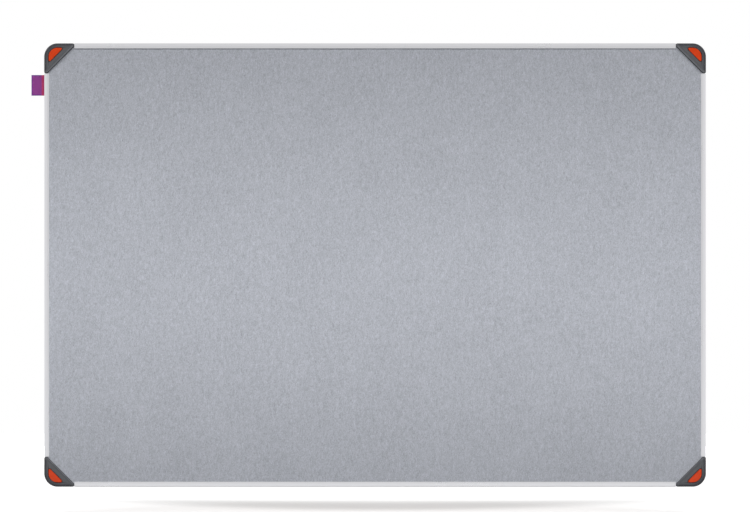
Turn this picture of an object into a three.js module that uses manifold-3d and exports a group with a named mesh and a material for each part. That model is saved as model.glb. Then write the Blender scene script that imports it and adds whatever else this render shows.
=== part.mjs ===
// A felt bulletin board: a pin panel in an aluminium frame with plastic corner mouldings.
// Lengths are millimetres. The board stands upright, with +Z up, its felt facing -Y and its feet
// on the wall plane y = 0. The origin is the board's centre on that plane.
import * as THREE from 'three';
import { mergeVertices, toCreasedNormals } from 'three/addons/utils/BufferGeometryUtils.js';
import Module from 'manifold-3d';

const wasm = await Module();
wasm.setup();

// The whole board
const boardWidth = 900;
const boardHeight = 603;

// The panel's layers
const backSheetThickness = 1.5;
const coreThickness = 7;
const feltThickness = 2;
const glueLine = 0.1;

// Frame rails
const railWall = 1.2;
const railWidth = 14;
const lipWidth = 6.75;
const lipThickness = 1.2;
const chamberDepth = 4.6;
const railFrontRadius = 1;
const lipEdgeRadius = 0.4;
const railBackRadius = 0.6;

// Play between the pieces
const fitGap = 0.25;
const buttGap = 0.2;
const lipGap = 0.1;
const panelPlay = 0.3;
const panelEdgeGap = 0.7;

// Corner mouldings
const outerRadius = 18.2;
const legLength = 40.7;
const plateEndWidth = 4.4;
const legEndRadius = 2;
const plateEndRadius = 2;
const mouldingStep = 0.1;
const mouldingProud = 1.2;
const footHeight = 1.5;
const borderWidth = 3.4;
const borderDrop = 1.7;
const beadWidth = 3;
const beadHeight = 0.6;
const beadInset = 0.2;

// Spigots that hold the mouldings in the rails
const spigotLength = 28;
const spigotTip = 1.5;

// Wells for the wall screws, and the covers that close them
const coverMargin = 5.85;
const coverReach = 32.65;
const coverEndRadius = 1.75;
const coverThickness = 1.8;
const coverProud = 0.3;
const coverRounding = 0.7;
const coverLegLength = 7;
const coverLegInset = 0.3;
const coverLegTip = 0.6;
const headSpace = 5.2;
const wellWall = 1.8;
const wellFloor = 4;
const wellLeadIn = 0.4;
const wallScrewHoleRadius = 3.1;

// Hollows in the mouldings' backs
const coringWall = 2.2;
const coringDepth = 3;
const coringRadius = 1;

// Self-tapping screws in the rails' backs
const screwReach = 12;
const screwInset = 9;
const screwRadius = 1.4;
const screwLength = 5;
const screwPoint = 1.2;
const screwHeadRadius = 2.8;
const screwHeadHeight = 1.2;
const screwHeadEdge = 0.4;
const recessLength = 3;
const recessWidth = 0.6;
const recessDepth = 0.7;

// Label tab of folded ribbon on the left rail's back, a gap below the corner moulding
const tabHeight = 28.1;
const tabGap = 1.85;
const tabStandOut = 18.5;
const tabTuck = 5;
const ribbonThickness = 0.35;
const ribbonGap = 0.3;

// Extra length of every cutting solid, past the face that it cuts
const overrun = 1;

// How finely round stretches are divided
const wideSteps = 12;
const fewSteps = 4;
const roundSteps = 16;
const borderSteps = 5;
const creaseAngle = Math.PI / 6;
const quarterTurn = Math.PI / 2;

// Distances from the wall plane, towards the front
const chamberBack = footHeight + railWall;
const chamberFront = chamberBack + chamberDepth;
const ledgeFront = chamberFront + railWall;
const backSheetBack = ledgeFront + panelPlay;
const coreBack = backSheetBack + backSheetThickness + glueLine;
const feltBack = coreBack + coreThickness + glueLine;
const lipBack = feltBack + feltThickness + lipGap;
const railFront = lipBack + lipThickness;
const mouldingFront = railFront + mouldingProud;
const coverFront = mouldingFront + coverProud;
const coverBack = coverFront - coverThickness;
const plateSide = mouldingFront - borderDrop;

// Distances inwards from the board's outer sides
const railOuter = mouldingStep;
const channelOuter = railOuter + railWall;
const panelEdge = channelOuter + panelEdgeGap;
const lipInner = railOuter + lipWidth;
const railInner = railOuter + railWidth;

// Reaches of slanted sides: where a side at 45 degrees would meet the board's outer sides
const plateReach = legLength + plateEndWidth;
const blockReach = coverReach + (fitGap + wellWall) * Math.SQRT2;
const panelReach = blockReach + panelEdgeGap * Math.SQRT2;

// The wall screw's place, midway between the well's round and slanted sides, from both outer sides
const coverRadius = outerRadius - coverMargin;
const wellCentre = (outerRadius - coverRadius / Math.SQRT2 + coverReach / 2) / 2;

const materials = {
  felt: new THREE.MeshStandardMaterial({ color: 0xabafb7, roughness: 0.95, metalness: 0 }),
  softboard: new THREE.MeshStandardMaterial({ color: 0xb39a74, roughness: 0.9, metalness: 0 }),
  hardboard: new THREE.MeshStandardMaterial({ color: 0x6b4a32, roughness: 0.7, metalness: 0 }),
  aluminium: new THREE.MeshStandardMaterial({ color: 0xd2d3d6, roughness: 0.35, metalness: 0.9 }),
  moulding: new THREE.MeshStandardMaterial({ color: 0x5a5c5d, roughness: 0.5, metalness: 0 }),
  cover: new THREE.MeshStandardMaterial({ color: 0xcb4020, roughness: 0.45, metalness: 0 }),
  ribbon: new THREE.MeshStandardMaterial({ color: 0x6e3a86, roughness: 0.8, metalness: 0 }),
  steel: new THREE.MeshStandardMaterial({ color: 0xb8babd, roughness: 0.3, metalness: 1 }),
};

// A closed geometry as a solid that can be joined and cut.
function solidOf(geometry) {
  geometry.deleteAttribute('normal');
  geometry.deleteAttribute('uv');
  const merged = mergeVertices(geometry);
  const mesh = new wasm.Mesh({
    numProp: 3,
    vertProperties: merged.attributes.position.array,
    triVerts: Uint32Array.from(merged.index.array),
  });
  return new wasm.Manifold(mesh);
}

// A finished solid as a named mesh.
function meshOf(name, solid, material) {
  const cut = solid.getMesh();
  const geometry = new THREE.BufferGeometry();
  geometry.setAttribute('position', new THREE.BufferAttribute(cut.vertProperties, 3));
  geometry.setIndex(new THREE.BufferAttribute(cut.triVerts, 1));
  const mesh = new THREE.Mesh(toCreasedNormals(geometry, creaseAngle), material);
  mesh.name = name;
  return mesh;
}

// One corner of an outline, sharp or rounded.
function corner(x, y, radius = 0, steps = fewSteps) {
  return { at: new THREE.Vector2(x, y), radius, steps };
}

// The points of one corner, between the corners before and after it.
function cornerPoints(before, here, after) {
  if (here.radius === 0) return [here.at];
  const toBefore = before.at.clone().sub(here.at).normalize();
  const toAfter = after.at.clone().sub(here.at).normalize();
  const halfAngle = Math.acos(toBefore.dot(toAfter)) / 2;
  const tangent = here.radius / Math.tan(halfAngle);
  const start = here.at.clone().addScaledVector(toBefore, tangent);
  const end = here.at.clone().addScaledVector(toAfter, tangent);
  const middle = toBefore.add(toAfter).normalize();
  const centre = here.at.clone().addScaledVector(middle, here.radius / Math.sin(halfAngle));
  const startAngle = start.sub(centre).angle();
  const turn = end.sub(centre).angle() - startAngle;
  const sweep = turn - Math.round(turn / (2 * Math.PI)) * 2 * Math.PI;
  const points = [];
  for (let step = 0; step <= here.steps; step++) {
    const angle = startAngle + (sweep * step) / here.steps;
    const arm = new THREE.Vector2(Math.cos(angle), Math.sin(angle));
    points.push(centre.clone().addScaledVector(arm, here.radius));
  }
  return points;
}

// The points of an outline whose corners are listed counter-clockwise.
function outline(corners) {
  return corners.flatMap((here, i) => {
    const before = corners.at(i - 1);
    const after = corners[(i + 1) % corners.length];
    return cornerPoints(before, here, after);
  });
}

// The same corners on the other side of the line x = y.
function mirrored(corners) {
  return corners.map(({ at, radius, steps }) => corner(at.y, at.x, radius, steps)).reverse();
}

function rectangle(left, bottom, right, top) {
  return [corner(left, bottom), corner(right, bottom), corner(right, top), corner(left, top)];
}

// An upright solid on an outline.
function prism(points, from, to) {
  const shape = new THREE.Shape(points);
  const geometry = new THREE.ExtrudeGeometry(shape, { depth: to - from, bevelEnabled: false });
  geometry.translate(0, 0, from);
  return solidOf(geometry);
}

// A closed solid through rings of equally many points, from the lowest ring to the highest.
function loft(rings) {
  const count = rings[0].points.length;
  const positions = rings.flatMap(({ points, z }) => points.flatMap(({ x, y }) => [x, y, z]));
  const faces = [];
  for (let ring = 1; ring < rings.length; ring++) {
    for (let i = 0; i < count; i++) {
      const low = (ring - 1) * count + i;
      const lowNext = (ring - 1) * count + ((i + 1) % count);
      faces.push(low, lowNext, lowNext + count, low, lowNext + count, low + count);
    }
  }
  const topStart = (rings.length - 1) * count;
  const base = THREE.ShapeUtils.triangulateShape(rings[0].points, []);
  const top = THREE.ShapeUtils.triangulateShape(rings.at(-1).points, []);
  base.forEach(([a, b, c]) => faces.push(c, b, a));
  top.forEach(([a, b, c]) => faces.push(topStart + a, topStart + b, topStart + c));
  const geometry = new THREE.BufferGeometry();
  geometry.setAttribute('position', new THREE.Float32BufferAttribute(positions, 3));
  geometry.setIndex(faces);
  return solidOf(geometry);
}

// A round bar that stands on the plan.
function bar(x, y, radius, from, to) {
  const geometry = new THREE.CylinderGeometry(radius, radius, to - from, roundSteps);
  geometry.rotateX(quarterTurn);
  geometry.translate(x, y, (from + to) / 2);
  return solidOf(geometry);
}

// Places on the wall that the corner groups and the rail groups take, going round the board
const halfWidth = boardWidth / 2;
const halfHeight = boardHeight / 2;
const cornerPlaces = [
  { name: 'bottom_left', x: -halfWidth, y: -halfHeight },
  { name: 'bottom_right', x: halfWidth, y: -halfHeight },
  { name: 'top_right', x: halfWidth, y: halfHeight },
  { name: 'top_left', x: -halfWidth, y: halfHeight },
];
const railPlaces = [
  { name: 'bottom', x: 0, y: -halfHeight, side: boardWidth },
  { name: 'right', x: halfWidth, y: 0, side: boardHeight },
  { name: 'top', x: 0, y: halfHeight, side: boardWidth },
  { name: 'left', x: -halfWidth, y: 0, side: boardHeight },
];

// A rail's section: x runs inwards from the board's outer side, y from the wall to the front.
function railSection() {
  return outline([
    corner(railOuter, footHeight, railBackRadius),
    corner(railInner, footHeight, lipEdgeRadius),
    corner(railInner, ledgeFront, lipEdgeRadius),
    corner(channelOuter, ledgeFront),
    corner(channelOuter, lipBack),
    corner(lipInner, lipBack, lipEdgeRadius),
    corner(lipInner, railFront, lipEdgeRadius),
    corner(railOuter, railFront, railFrontRadius),
  ]);
}

function chamberSection() {
  return outline(rectangle(channelOuter, chamberBack, railInner - railWall, chamberFront));
}

// A rail along x, in the middle of its side of the board, with a screw hole near each end.
function railSolid(side) {
  const length = side - 2 * (legLength + buttGap);
  const shape = new THREE.Shape(railSection());
  shape.holes = [new THREE.Path(chamberSection())];
  const geometry = new THREE.ExtrudeGeometry(shape, { depth: length, bevelEnabled: false });
  const across = new THREE.Vector3(0, 1, 0);
  const outwards = new THREE.Vector3(0, 0, 1);
  const along = new THREE.Vector3(1, 0, 0);
  geometry.translate(0, 0, -length / 2);
  geometry.applyMatrix4(new THREE.Matrix4().makeBasis(across, outwards, along));
  const toScrew = side / 2 - legLength - screwReach;
  const radius = screwRadius + fitGap;
  return [-toScrew, toScrew].reduce((rail, x) => {
    return rail.subtract(bar(x, screwInset, radius, footHeight - overrun, chamberBack + overrun));
  }, solidOf(geometry));
}

// A corner moulding's outline: two legs along the outer sides, with a slanted side between them.
function mouldingOutline(inner, reach) {
  return outline([
    corner(0, 0, outerRadius, wideSteps),
    corner(legLength, 0, legEndRadius),
    corner(legLength, inner),
    corner(reach - inner, inner),
    corner(inner, reach - inner),
    corner(inner, legLength),
    corner(0, legLength, legEndRadius),
  ]);
}

// The block round the well, in the rough: two strips along the outer sides and a slanted side.
function blockOutline() {
  const end = legLength + overrun;
  return outline([
    corner(-overrun, -overrun),
    corner(end, -overrun),
    corner(end, channelOuter),
    corner(blockReach - channelOuter, channelOuter),
    corner(channelOuter, blockReach - channelOuter),
    corner(channelOuter, end),
    corner(-overrun, end),
  ]);
}

// The front plate's outline, drawn in from the outer sides and the legs' ends alone.
function plateOutline(inset) {
  const end = legLength - inset;
  const side = plateReach - end;
  return outline([
    corner(inset, inset, outerRadius - inset, wideSteps),
    corner(end, inset, legEndRadius),
    corner(end, side, plateEndRadius),
    corner(side, end, plateEndRadius),
    corner(inset, end, legEndRadius),
  ]);
}

// The plate with its rounded border, up to a given front.
function plateBlank(front) {
  const rings = [{ points: plateOutline(0), z: lipBack }];
  for (let step = 0; step <= borderSteps; step++) {
    const angle = (quarterTurn * step) / borderSteps;
    const inset = borderWidth * (1 - Math.cos(angle));
    rings.push({ points: plateOutline(inset), z: front - borderDrop * (1 - Math.sin(angle)) });
  }
  return loft(rings);
}

// The raised bead along the plate's slanted side, with its ends rounded as the border is.
function beadSolid() {
  const section = new THREE.Shape();
  section.absellipse(0, mouldingFront, beadWidth / 2, beadHeight, 0, 2 * Math.PI);
  const length = plateReach * Math.SQRT2;
  const options = { depth: length, bevelEnabled: false, curveSegments: fewSteps };
  const geometry = new THREE.ExtrudeGeometry(section, options);
  geometry.translate(0, 0, -length / 2);
  geometry.rotateX(quarterTurn);
  geometry.rotateZ(quarterTurn / 2);
  const middle = plateReach / 2 - (beadInset + beadWidth / 2) * Math.SQRT1_2;
  geometry.translate(middle, middle, 0);
  return solidOf(geometry).intersect(plateBlank(mouldingFront + beadHeight));
}

// The cover's outline: a round side along the board's corner and a slanted side.
function coverOutline(inset) {
  const margin = coverMargin + inset;
  const tip = coverReach - inset * Math.SQRT2 - margin;
  const endRadius = coverEndRadius - inset;
  return outline([
    corner(margin, margin, coverRadius - inset, wideSteps),
    corner(tip, margin, endRadius),
    corner(margin, tip, endRadius),
  ]);
}

// The well under the cover, with a lead-in round its mouth.
function wellCutter() {
  const mouth = mouldingFront - wellLeadIn;
  const wide = coverOutline(-fitGap - wellLeadIn);
  return loft([
    { points: coverOutline(-fitGap), z: wellFloor },
    { points: coverOutline(-fitGap), z: mouth },
    { points: wide, z: mouldingFront },
    { points: wide, z: mouldingFront + overrun },
  ]);
}

// The corners of one spigot, which fills a rail's chamber.
function spigotCorners() {
  const start = legLength - overrun;
  const end = legLength + spigotLength;
  const low = channelOuter + fitGap;
  const high = railInner - railWall - fitGap;
  return [
    corner(start, low),
    corner(end - spigotTip, low),
    corner(end, low + spigotTip),
    corner(end, high - spigotTip),
    corner(end - spigotTip, high),
    corner(start, high),
  ];
}

function spigotSolid(corners) {
  return prism(outline(corners), chamberBack + fitGap, chamberFront - fitGap);
}

// The corners of the hollow in the back of one leg.
function coringCorners() {
  const start = legLength - coringWall;
  const end = plateReach - railInner;
  const low = coringWall;
  const high = railInner - coringWall;
  return [
    corner(end, low, coringRadius),
    corner(start, low, coringRadius),
    corner(start, high, coringRadius),
    corner(end, high, coringRadius),
  ];
}

function coringCutter(corners) {
  return prism(outline(corners), -overrun, coringDepth);
}

// The places of the two screws that hold one corner moulding.
const screwPlaces = [
  { name: 'a', x: legLength + screwReach, y: screwInset },
  { name: 'b', x: screwInset, y: legLength + screwReach },
];

function mouldingSolid() {
  const rear = prism(mouldingOutline(railInner, plateReach), 0, ledgeFront);
  const whole = prism(plateOutline(0), 0, plateSide);
  const block = whole.intersect(prism(blockOutline(), -overrun, plateSide + overrun));
  const lip = prism(mouldingOutline(lipInner, plateReach), lipBack, plateSide);
  const joined = rear.add(block).add(lip).add(plateBlank(mouldingFront)).add(beadSolid());
  const spigots = spigotSolid(spigotCorners()).add(spigotSolid(mirrored(spigotCorners())));
  const coring = coringCutter(coringCorners()).add(coringCutter(mirrored(coringCorners())));
  const pilots = screwPlaces.reduce((cut, { x, y }) => {
    return cut.add(bar(x, y, screwRadius + fitGap, 0, ledgeFront));
  }, coring);
  const hole = bar(wellCentre, wellCentre, wallScrewHoleRadius, -overrun, wellFloor + overrun);
  return joined.add(spigots).subtract(pilots).subtract(wellCutter()).subtract(hole);
}

// A snap-in cover: a plate with a rounded edge on two legs, with room for a screw head between.
function coverSolid() {
  const plate = [{ points: coverOutline(0), z: coverBack }];
  for (let step = 0; step <= fewSteps; step++) {
    const angle = (quarterTurn * step) / fewSteps;
    const inset = coverRounding * (1 - Math.cos(angle));
    plate.push({
      points: coverOutline(inset),
      z: coverFront - coverRounding * (1 - Math.sin(angle)),
    });
  }
  const legEnd = coverBack - coverLegLength;
  const legs = loft([
    { points: coverOutline(coverLegInset + coverLegTip), z: legEnd },
    { points: coverOutline(coverLegInset), z: legEnd + coverLegTip },
    { points: coverOutline(coverLegInset), z: coverBack + coverThickness / 2 },
  ]);
  const room = new THREE.BoxGeometry(2 * outerRadius, 2 * headSpace, coverLegLength + overrun);
  room.rotateZ(quarterTurn / 2);
  room.translate(wellCentre, wellCentre, coverBack - (coverLegLength + overrun) / 2);
  return loft(plate).add(legs.subtract(solidOf(room)));
}

// A pan-head self-tapping screw, its head towards the wall, under a rail's back.
function screwSolid() {
  const profile = [
    new THREE.Vector2(0, footHeight - screwHeadHeight),
    new THREE.Vector2(screwHeadRadius - screwHeadEdge, footHeight - screwHeadHeight),
    new THREE.Vector2(screwHeadRadius, footHeight - screwHeadEdge),
    new THREE.Vector2(screwHeadRadius, footHeight),
    new THREE.Vector2(screwRadius, footHeight),
    new THREE.Vector2(screwRadius, footHeight + screwLength - screwPoint),
    new THREE.Vector2(0, footHeight + screwLength),
  ];
  const body = new THREE.LatheGeometry(profile, roundSteps);
  body.rotateX(quarterTurn);
  const slot = new THREE.BoxGeometry(recessLength, recessWidth, recessDepth + overrun);
  slot.translate(0, 0, footHeight - screwHeadHeight + (recessDepth - overrun) / 2);
  const crossSlot = slot.clone().rotateZ(quarterTurn);
  return solidOf(body).subtract(solidOf(slot)).subtract(solidOf(crossSlot));
}

// A layer of the panel, its corners cut off to clear the mouldings' wells.
function panelLayer(from, to) {
  const side = panelReach - panelEdge;
  const right = halfWidth - panelEdge;
  const top = halfHeight - panelEdge;
  const cutX = halfWidth - side;
  const cutY = halfHeight - side;
  const corners = [
    corner(-cutX, -top),
    corner(cutX, -top),
    corner(right, -cutY),
    corner(right, cutY),
    corner(cutX, top),
    corner(-cutX, top),
    corner(-right, cutY),
    corner(-right, -cutY),
  ];
  return prism(outline(corners), from, to);
}

// A ribbon folded once: its section stands on the plan's x and runs out to a round fold.
function tabSolid() {
  const front = footHeight - glueLine;
  const back = front - 2 * ribbonThickness - ribbonGap;
  const slitBack = back + ribbonThickness;
  const slitFront = front - ribbonThickness;
  const fold = railOuter - tabStandOut;
  const tucked = railOuter + tabTuck;
  const foldRadius = (front - back) / 2;
  const slitRadius = ribbonGap / 2;
  const section = new THREE.Shape();
  section.moveTo(tucked, back);
  section.lineTo(tucked, slitBack);
  section.lineTo(fold + foldRadius, slitBack);
  section.absarc(fold + foldRadius, back + foldRadius, slitRadius, -quarterTurn, quarterTurn, true);
  section.lineTo(tucked, slitFront);
  section.lineTo(tucked, front);
  section.absarc(fold + foldRadius, back + foldRadius, foldRadius, quarterTurn, -quarterTurn);
  const options = { depth: tabHeight, bevelEnabled: false, curveSegments: fewSteps };
  const geometry = new THREE.ExtrudeGeometry(section, options);
  geometry.rotateX(quarterTurn);
  return solidOf(geometry);
}

// One corner of the board, drawn from its outer corner inwards: moulding, cover and screws.
function cornerGroup({ name, x, y }, turns) {
  const group = new THREE.Group();
  group.add(meshOf(`corner_moulding_${name}`, mouldingSolid(), materials.moulding));
  group.add(meshOf(`corner_cover_${name}`, coverSolid(), materials.cover));
  screwPlaces.forEach((place) => {
    const screw = meshOf(`corner_screw_${name}_${place.name}`, screwSolid(), materials.steel);
    screw.position.set(place.x, place.y, 0);
    group.add(screw);
  });
  group.position.set(x, y, 0);
  group.rotation.z = turns * quarterTurn;
  return group;
}

function railMesh({ name, x, y, side }, turns) {
  const rail = meshOf(`frame_rail_${name}`, railSolid(side), materials.aluminium);
  rail.position.set(x, y, 0);
  rail.rotation.z = turns * quarterTurn;
  return rail;
}

function tabMesh() {
  const tab = meshOf('side_label_tab', tabSolid(), materials.ribbon);
  tab.position.set(-halfWidth, halfHeight - legLength - tabGap, 0);
  return tab;
}

// The plan lies flat with its front up, and is then turned upright.
const board = new THREE.Group();
cornerPlaces.forEach((place, turns) => board.add(cornerGroup(place, turns)));
railPlaces.forEach((place, turns) => board.add(railMesh(place, turns)));
board.add(
  meshOf('felt_sheet', panelLayer(feltBack, feltBack + feltThickness), materials.felt),
  meshOf('softboard_core', panelLayer(coreBack, coreBack + coreThickness), materials.softboard),
  meshOf(
    'back_sheet',
    panelLayer(backSheetBack, backSheetBack + backSheetThickness),
    materials.hardboard,
  ),
  tabMesh(),
);
board.rotation.x = quarterTurn;

export default board;
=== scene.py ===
from collections import namedtuple
from math import atan2, cos, pi, radians, sin, sqrt, tan, tau

import bmesh
import bpy
import numpy as np
from mathutils import Color, Matrix, Vector


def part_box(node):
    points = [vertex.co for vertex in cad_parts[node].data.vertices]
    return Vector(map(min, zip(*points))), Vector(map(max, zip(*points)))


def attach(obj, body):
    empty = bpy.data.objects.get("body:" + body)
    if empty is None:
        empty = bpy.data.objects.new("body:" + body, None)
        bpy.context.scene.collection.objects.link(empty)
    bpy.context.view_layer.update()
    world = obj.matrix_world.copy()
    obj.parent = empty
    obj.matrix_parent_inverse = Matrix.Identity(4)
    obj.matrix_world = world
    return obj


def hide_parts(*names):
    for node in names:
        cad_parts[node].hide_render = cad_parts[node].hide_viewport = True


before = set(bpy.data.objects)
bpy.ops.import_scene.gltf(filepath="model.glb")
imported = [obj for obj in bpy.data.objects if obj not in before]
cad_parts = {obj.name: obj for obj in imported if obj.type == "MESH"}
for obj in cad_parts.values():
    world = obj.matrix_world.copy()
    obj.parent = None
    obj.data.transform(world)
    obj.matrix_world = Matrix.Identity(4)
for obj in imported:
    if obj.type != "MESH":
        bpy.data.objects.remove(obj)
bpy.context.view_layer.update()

MILLIMETRE = 0.001
METRE = 1 / MILLIMETRE


def cad_extent(node):
    """A node's lowest and highest corners on the plan, in millimetres."""
    low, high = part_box(node)
    return Vector((low.x, low.z, -high.y)) * METRE, Vector((high.x, high.z, -low.y)) * METRE


# Places taken from the frame
rail_low, rail_high = cad_extent("frame_rail_right")
felt_low, felt_high = cad_extent("felt_sheet")
tab_low, tab_high = cad_extent("side_label_tab")
HALF_WIDTH, HALF_HEIGHT = cad_extent("corner_moulding_top_right")[1].xy
COVER_FRONT = cad_extent("corner_cover_top_right")[1].z
FELT_BACK = felt_low.z
FELT_FRONT = felt_high.z
FOOT_HEIGHT = rail_low.z
RAIL_FRONT = rail_high.z
TAB_TOP = tab_high.y
TAB_BOTTOM = tab_low.y
TAB_FOLD = tab_low.x

# Frame rails
RAIL_WALL = 1.2
RAIL_WIDTH = 14
LIP_WIDTH = 6.75
CHAMBER_DEPTH = 4.6
RAIL_FRONT_RADIUS = 1
LIP_EDGE_RADIUS = 0.2
RAIL_BACK_RADIUS = 0.6
RAIL_RIDGE_SHARE = 0.36
RAIL_INNER_DROP = 0.1
RAIL_OUTER_DROP = 0.5
RAIL_RIDGE_RADIUS = 18
RAIL_END_ROUNDING = 0.12

# Play between the pieces
FIT_GAP = 0.25
BUTT_GAP = 0.2
LIP_GAP = 0.1

# Corner mouldings
OUTER_RADIUS = 18.2
LEG_LENGTH = 40.7
PLATE_END_WIDTH = 4.4
LEG_END_RADIUS = 2
PLATE_END_RADIUS = 2
FIELD_TIP_RADIUS = 0.6
MOULDING_STEP = 0.1
BORDER_WIDTH = 3.4
BORDER_DROP = 1.7
CROWN_WIDTH = 5
CROWN_DROP = 0.25
BEAD_WIDTH = 3.2
BEAD_HEIGHT = 0.6
BEAD_SHOULDER = 1.6
GROOVE_WIDTH = 0.9
GROOVE_DEPTH = 0.12
MOULDING_ROUNDING = 0.4
SPIGOT_LENGTH = 28
SPIGOT_TIP = 1.5

# Wells for the wall screws, and the covers that close them
COVER_MARGIN = 5.85
COVER_REACH = 32.65
COVER_END_RADIUS = 1.75
COVER_THICKNESS = 1.8
COVER_PROUD = 0.3
COVER_ROUNDING = 0.5
COVER_FACE_DROP = 0.15
COVER_LEG_LENGTH = 7
COVER_LEG_INSET = 0.3
COVER_LEG_TIP = 0.6
HEAD_SPACE = 5.2
WELL_WALL = 1.8
WELL_FLOOR = 4
WELL_LEAD_IN = 0.4
# The attribute that marks the well's mouth for its painted shade
PAINTED_RIM_SHADE_MARK = "well_rim_painted_shade"
WALL_SCREW_HOLE_RADIUS = 3.1
HOLE_CHAMFER = 0.5
CORING_WALL = 2.2
CORING_DEPTH = 3
CORING_RADIUS = 1
CORING_MOUTH = 0.3

# Self-tapping screws in the rails' backs
SCREW_REACH = 12
SCREW_INSET = 9
SCREW_RADIUS = 1.4
SCREW_LENGTH = 5
SCREW_POINT = 1.2
SCREW_HEAD_RADIUS = 2.8
SCREW_HEAD_HEIGHT = 1.2
SCREW_HEAD_POWER = 0.5
THREAD_PITCH = 1.05
THREAD_DEPTH = 0.32
RECESS_LENGTH = 3
RECESS_WIDTH = 0.62
RECESS_DEPTH = 0.8
RECESS_TAPER_SHARE = 0.35

# The felt's surface and its loose fibres
FELT_GRID = 3
FELT_SOFT_EDGE = 0.5
FELT_BUMP_CELLS = (34, 13, 6)
FELT_BUMP_HEIGHTS = (0.1, 0.07, 0.05)
FELT_TABLE_SIDE = 256
PANEL_EDGE_GAP = 0.7
FIBRE_SEED = 7
FIBRE_COUNT = 9000
FIBRE_LENGTHS = (4, 11)
FIBRE_RADIUS = 0.035
FIBRE_TIP_SHARE = 0.35
FIBRE_LIFT = 0.3
FIBRE_LIFT_SHARES = (0.3, 1)
FIBRE_SUNK_SHARE = 0.25
FIBRE_LEAN_SPREAD = 0.75
FIBRE_BEND_SPREAD = 1.1
FIBRE_SEGMENTS = 6
FIBRE_SIDES = 3

# The ribbon of the side label
TAB_TUCK = 5
RIBBON_THICKNESS = 0.35
RIBBON_GAP = 0.3
RIBBON_GRID = 0.3
RIBBON_WAVE = 0.05
STRIPE_WIDTH = 4.6
SELVEDGE_WIDTH = 1.5

# Extra length of every cutting shape, past the face that it cuts
OVERRUN = 1

# A step between shapes that are joined, too small to see, so that no two faces lie in one plane,
# and the distance below which two points are one
SEAM = 0.02
WELD = SEAM / 4
LEAST_RADIUS = 0.0625

# How finely round stretches are divided
WIDE_STEPS = 36
FEW_STEPS = 8
BORDER_STEPS = 12
ROUND_STEPS = 32
SMOOTH_ANGLE = radians(38)
QUARTER_TURN = pi / 2

# Distances from the wall plane, towards the front
CHAMBER_BACK = FOOT_HEIGHT + RAIL_WALL
CHAMBER_FRONT = CHAMBER_BACK + CHAMBER_DEPTH
LEDGE_FRONT = CHAMBER_FRONT + RAIL_WALL
LIP_BACK = FELT_FRONT + LIP_GAP
MOULDING_FRONT = COVER_FRONT - COVER_PROUD
PLATE_SIDE = MOULDING_FRONT - BORDER_DROP
COVER_BACK = COVER_FRONT - COVER_THICKNESS

# Distances inwards from the board's outer sides
RAIL_OUTER = MOULDING_STEP
CHANNEL_OUTER = RAIL_OUTER + RAIL_WALL
LIP_INNER = RAIL_OUTER + LIP_WIDTH
RAIL_INNER = RAIL_OUTER + RAIL_WIDTH

# Reaches of slanted sides: where a side at 45 degrees would meet the board's outer sides
PLATE_REACH = LEG_LENGTH + PLATE_END_WIDTH
BLOCK_REACH = COVER_REACH + (FIT_GAP + WELL_WALL) * sqrt(2)
PANEL_REACH = BLOCK_REACH + PANEL_EDGE_GAP * sqrt(2)

# The well's centre, midway between the cover's round side and its slanted side
COVER_RADIUS = OUTER_RADIUS - COVER_MARGIN
WELL_CENTRE = (OUTER_RADIUS - COVER_RADIUS / sqrt(2) + COVER_REACH / 2) / 2

# Corners and rails, counter-clockwise from the lower left: each is a quarter turn from the last
CORNER_PLACES = (
    ("bottom_left", -HALF_WIDTH, -HALF_HEIGHT),
    ("bottom_right", HALF_WIDTH, -HALF_HEIGHT),
    ("top_right", HALF_WIDTH, HALF_HEIGHT),
    ("top_left", -HALF_WIDTH, HALF_HEIGHT),
)
RAIL_PLACES = (
    ("bottom", 0, -HALF_HEIGHT, 2 * HALF_WIDTH),
    ("right", HALF_WIDTH, 0, 2 * HALF_HEIGHT),
    ("top", 0, HALF_HEIGHT, 2 * HALF_WIDTH),
    ("left", -HALF_WIDTH, 0, 2 * HALF_HEIGHT),
)
SCREW_PLACES = (
    ("a", LEG_LENGTH + SCREW_REACH, SCREW_INSET),
    ("b", SCREW_INSET, LEG_LENGTH + SCREW_REACH),
)

Corner = namedtuple("Corner", "x y radius steps", defaults=(0, FEW_STEPS))


# Outlines on the plan


def neighbours(corners):
    """Each corner with the ones before and after it."""
    for i, here in enumerate(corners):
        yield corners[i - 1], here, corners[(i + 1) % len(corners)]


def unit(start, end):
    return Vector((end.x - start.x, end.y - start.y)).normalized()


def drawn_in(corners, distance):
    """The outline with each side moved inwards, or outwards where the distance is negative."""
    moved_corners = []
    for before, here, after in neighbours(corners):
        arriving = unit(before, here)
        leaving = unit(here, after)
        normals = Vector((-arriving.y, arriving.x)), Vector((-leaving.y, leaving.x))
        shift = (normals[0] + normals[1]) / (1 + normals[0].dot(normals[1])) * distance
        convex = arriving.cross(leaving) > 0
        radius = here.radius - distance if convex else here.radius + distance
        radius = max(radius, LEAST_RADIUS) if here.radius else 0
        moved_corners.append(Corner(here.x + shift.x, here.y + shift.y, radius, here.steps))
    return moved_corners


def corner_points(before, here, after):
    """The points of one corner, sharp or rounded."""
    at = Vector((here.x, here.y))
    if not here.radius:
        return [at]
    to_before = unit(here, before)
    to_after = unit(here, after)
    half_angle = to_before.angle(to_after) / 2
    tangent = here.radius / tan(half_angle)
    centre = at + (to_before + to_after).normalized() * (here.radius / sin(half_angle))
    start = at + to_before * tangent - centre
    end = at + to_after * tangent - centre
    start_angle = atan2(start.y, start.x)
    turn = atan2(end.y, end.x) - start_angle
    sweep = turn - round(turn / tau) * tau
    points = []
    for step in range(here.steps + 1):
        angle = start_angle + sweep * step / here.steps
        points.append(centre + Vector((cos(angle), sin(angle))) * here.radius)
    return points


def outline(corners):
    """The points of an outline whose corners are listed counter-clockwise."""
    return [p for three in neighbours(corners) for p in corner_points(*three)]


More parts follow.
